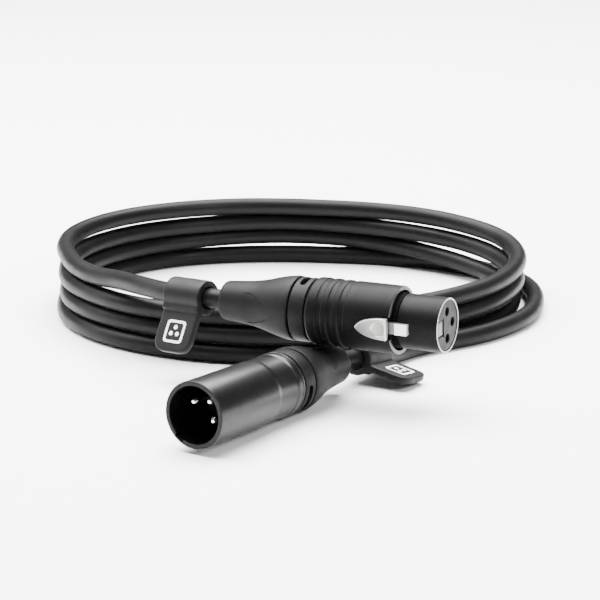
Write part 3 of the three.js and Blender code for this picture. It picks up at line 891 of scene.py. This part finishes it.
plug_pieces = [plug_shell(), plug_insert()]
plug_pieces += [plug_pin(i + 1, angle) for i, angle in enumerate(CONTACT_ANGLES)]


# ---- the tags ------------------------------------------------------------------------------------

TAG_HALF_WIDTH = 6.75
TAG_REACH = 18.5
TAG_BORE_R = 3.2
TAG_LOOP_R = 5.3


def tag(name, at, body, replaced):
    """A rubber strap folded round the cable, moulded into a paddle."""
    half = TAG_HALF_WIDTH
    loop = [(-half, TAG_BORE_R), (-half, TAG_LOOP_R), (half, TAG_LOOP_R), (half, TAG_BORE_R)]
    piece = link(name, revolved(loop, sides=64), TAG_RUBBER, at)
    outline = filleted([
        (-half, -3.4), (-half, -TAG_REACH, 4.2), (half, -TAG_REACH, 4.2), (half, -3.4),
    ], steps=10)
    combine(piece, [prism(outline, 0.45, 2.6, axis="Y")], "UNION")
    web = [(-half, -5.6), (half, -5.6), (half, -3.2), (-half, -3.2)]
    combine(piece, [prism(web, 0.1, 3.6, axis="Y")], "UNION")
    combine(piece, [cylinder(-half - 1, half + 1, TAG_BORE_R, sides=64)])
    fine = piece.modifiers.new("fine", "REMESH")
    fine.mode = "VOXEL"
    fine.voxel_size = 0.24 * MM
    soft = piece.modifiers.new("soft", "SMOOTH")
    soft.factor = 0.6
    soft.iterations = 16
    settle(piece)
    piece.data.shade_smooth()
    return stand_in(piece, replaced, body)


BADGE_DOWN = 12.2  # from the cable's middle
DOT_CIRCLE_R = 1.35
DOT_R = 0.68


def rounded_square(half, corner):
    corners = [(-half, -half), (half, -half), (half, half), (-half, half)]
    return filleted([(*place, corner) for place in corners], steps=8)


def badge(name, at, body, low, high):
    """A plain printed badge from low to high in Y: a rounded square frame round three dots."""
    piece = link(name, prism(rounded_square(3.5, 1.3), low, high, axis="Y"), BADGE_INK)
    combine(piece, [prism(rounded_square(2.75, 0.8), low - 1, high + 1, axis="Y")])
    dots = []
    for k in range(3):
        angle = math.radians(90 + 120 * k)
        x, z = DOT_CIRCLE_R * math.cos(angle), DOT_CIRCLE_R * math.sin(angle)
        around = [2 * math.pi * j / 24 for j in range(24)]
        dot = [(x + DOT_R * math.cos(a), z + DOT_R * math.sin(a)) for a in around]
        dots.append(prism(dot, low, high, axis="Y"))
    combine(piece, dots, "UNION")
    piece.data.transform(Matrix.Translation((0, 0, -BADGE_DOWN * MM)))
    piece.matrix_world = at
    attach(piece, body)
    return piece


socket_tag = tag("socket_tag_skin", SOCKET_TAG, "socket_id_tag", "socket_tag")
plug_tag = tag("plug_tag_skin", PLUG_TAG, "plug_id_tag", "plug_tag")
socket_badge = badge("socket_tag_badge", SOCKET_TAG, "socket_id_tag", 2.5, 2.66)
plug_badge = badge("plug_tag_badge", PLUG_TAG, "plug_id_tag", 0.36, 0.52)


# ---- carried-over CAD nodes ----------------------------------------------------------------------

KEPT = {
    CONTACT_TIN: ["socket_contact_1", "socket_contact_2", "socket_contact_3", "socket_ground_clip",
                  "plug_ground_clip"],
    CHUCK_PLASTIC: ["socket_chuck", "plug_chuck"],
    COPPER: ["socket_drain_wire", "plug_drain_wire"],
    CORE_RED: ["socket_core_hot", "plug_core_hot"],
    CORE_WHITE: ["socket_core_cold", "plug_core_cold"],
    SPRING_STEEL: ["latch_pivot_pin", "latch_spring"],
}
for finish, names in KEPT.items():
    for name in names:
        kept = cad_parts[name]
        kept.data.materials.clear()
        kept.data.materials.append(finish)


# ---- floor and lights ----------------------------------------------------------------------------

FLOOR_Z = -0.0001


def floor():
    shape = bmesh.new()
    bmesh.ops.create_grid(shape, x_segments=1, y_segments=1, size=6)
    mesh = bpy.data.meshes.new("floor")
    shape.to_mesh(mesh)
    shape.free()
    made = bpy.data.objects.new("floor", mesh)
    scene.collection.objects.link(made)
    made.location.z = FLOOR_Z
    paper = material("floor_paper", (0.9, 0.9, 0.9), 0.75, Specular_IOR_Level=0.2)
    textured(paper, rough=(0.7, 0.8), rough_scale=5)
    mesh.materials.append(paper)


def softbox(name, place, target, size, power):
    lamp = bpy.data.lights.new(name, "AREA")
    lamp.shape = "RECTANGLE"
    lamp.size, lamp.size_y = size
    lamp.energy = power
    made = bpy.data.objects.new(name, lamp)
    scene.collection.objects.link(made)
    made.location = place
    made.rotation_euler = (Vector(target) - Vector(place)).to_track_quat("-Z", "Y").to_euler()


floor()
world = bpy.data.worlds.new("studio")
world.use_nodes = True
world.node_tree.nodes["Background"].inputs["Color"].default_value = (1, 1, 1, 1)
world.node_tree.nodes["Background"].inputs["Strength"].default_value = 0.25
scene.world = world
softbox("top", (-0.1, 0.3, 1.1), (0, 0, 0), (1.6, 1.3), 170)
softbox("front", (0.75, -0.75, 0.75), (0, -0.05, 0.02), (0.35, 0.35), 12)
softbox("left", (-0.9, 0.25, 0.5), (0, -0.05, 0.02), (0.3, 0.8), 8)
